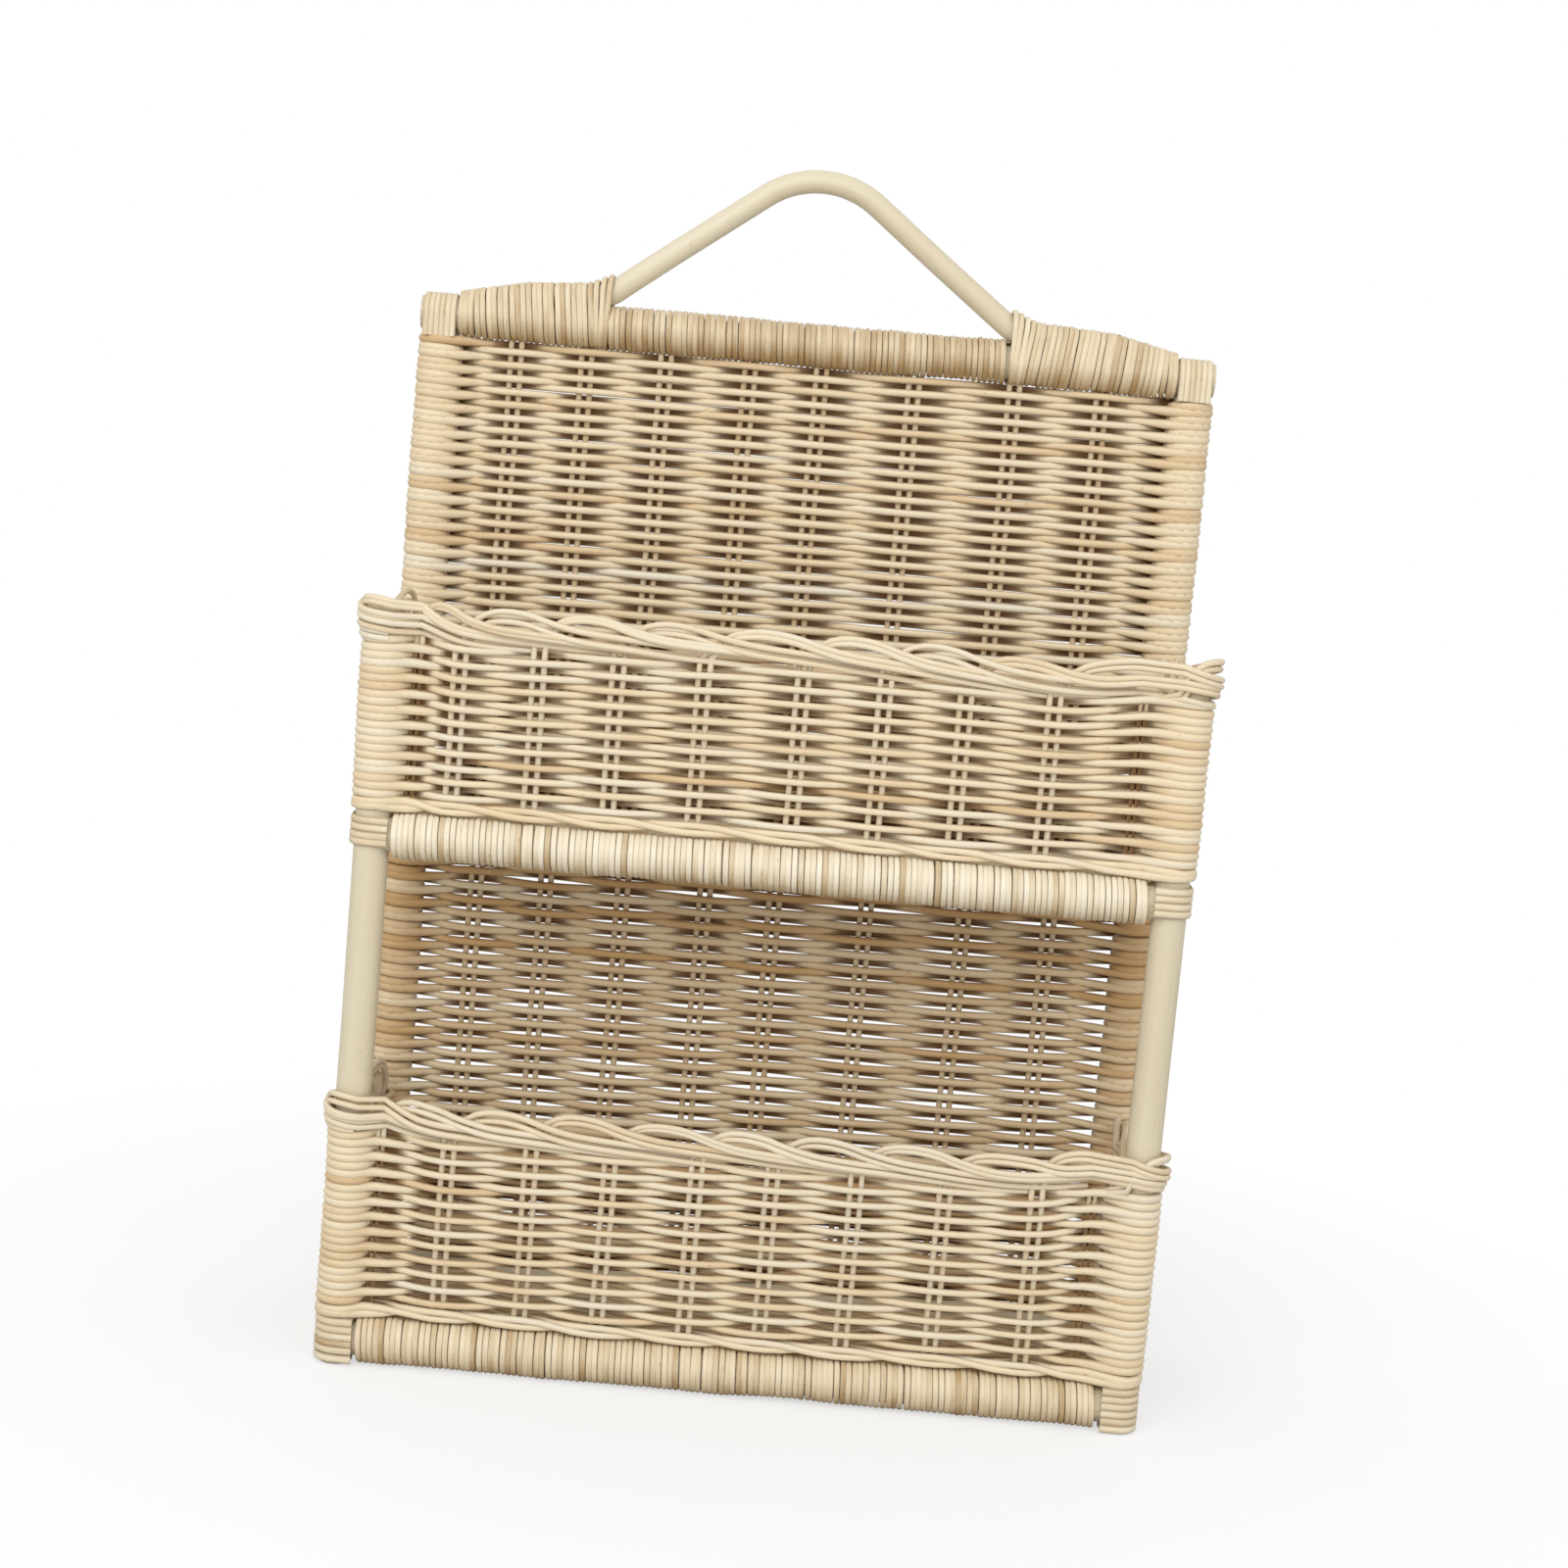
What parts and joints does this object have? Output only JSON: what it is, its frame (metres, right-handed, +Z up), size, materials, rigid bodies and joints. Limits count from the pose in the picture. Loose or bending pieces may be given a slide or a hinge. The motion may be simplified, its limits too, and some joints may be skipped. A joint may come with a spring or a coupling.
{
  "type": "two-tier wall basket",
  "caption": "Two-tier woven rattan wall basket with a pole frame, a woven back panel, two open front pockets with plaited rims and a bent hanging handle.",
  "frame": {"origin": "on the ground below the middle of the basket's outline", "axes": "+Z up along the back posts, +X to the viewer's right along the rails, -Y towards the viewer, +Y towards the wall"},
  "size_m": [0.3576, 0.1312, 0.5114],
  "materials": {
    "pole": "pale peeled rattan pole, satin",
    "binding": "cane peel wound side by side, satin",
    "weaver": "honey rattan core, dry and matt",
    "stake": "darker rattan core, dry and matt"
  },
  "bodies": {
    "root": {"front_post_left": "pole", "front_post_right": "pole", "back_post_left": "pole", "back_post_right": "pole", "base_rail_front": "pole", "base_rail_rear": "pole", "base_rail_left": "pole", "base_rail_right": "pole", "shelf_rail_front": "pole", "shelf_rail_rear": "pole", "shelf_rail_left": "pole", "shelf_rail_right": "pole", "top_rail": "pole", "handle": "pole", "handle_binding_left": "binding", "handle_binding_right": "binding", "top_rail_binding": "binding", "shelf_rail_binding": "binding", "base_rail_binding": "binding", "post_strap_left": "binding", "post_strap_right": "binding", "base_lashing_left": "binding", "base_lashing_right": "binding", "shelf_lashing_left": "binding", "shelf_lashing_right": "binding", "back_stake_1": "stake", "back_stake_2": "stake", "back_stake_3": "stake", "back_stake_4": "stake", "back_stake_5": "stake", "back_stake_6": "stake", "back_stake_7": "stake", "back_stake_8": "stake", "back_weave": "weaver", "upper_floor_bearer_1": "stake", "upper_floor_bearer_2": "stake", "upper_floor_bearer_3": "stake", "upper_floor_bearer_4": "stake", "upper_floor_bearer_5": "stake", "upper_floor_bearer_6": "stake", "upper_floor_weave": "weaver", "lower_floor_bearer_1": "stake", "lower_floor_bearer_2": "stake", "lower_floor_bearer_3": "stake", "lower_floor_bearer_4": "stake", "lower_floor_bearer_5": "stake", "lower_floor_bearer_6": "stake", "lower_floor_weave": "weaver", "upper_weave": "weaver", "upper_rim_1": "weaver", "upper_rim_2": "weaver", "upper_rim_3": "weaver", "upper_rim_4": "weaver", "lower_weave": "weaver", "lower_rim_1": "weaver", "lower_rim_2": "weaver", "lower_rim_3": "weaver", "lower_rim_4": "weaver"}
  },
  "joints": []
}
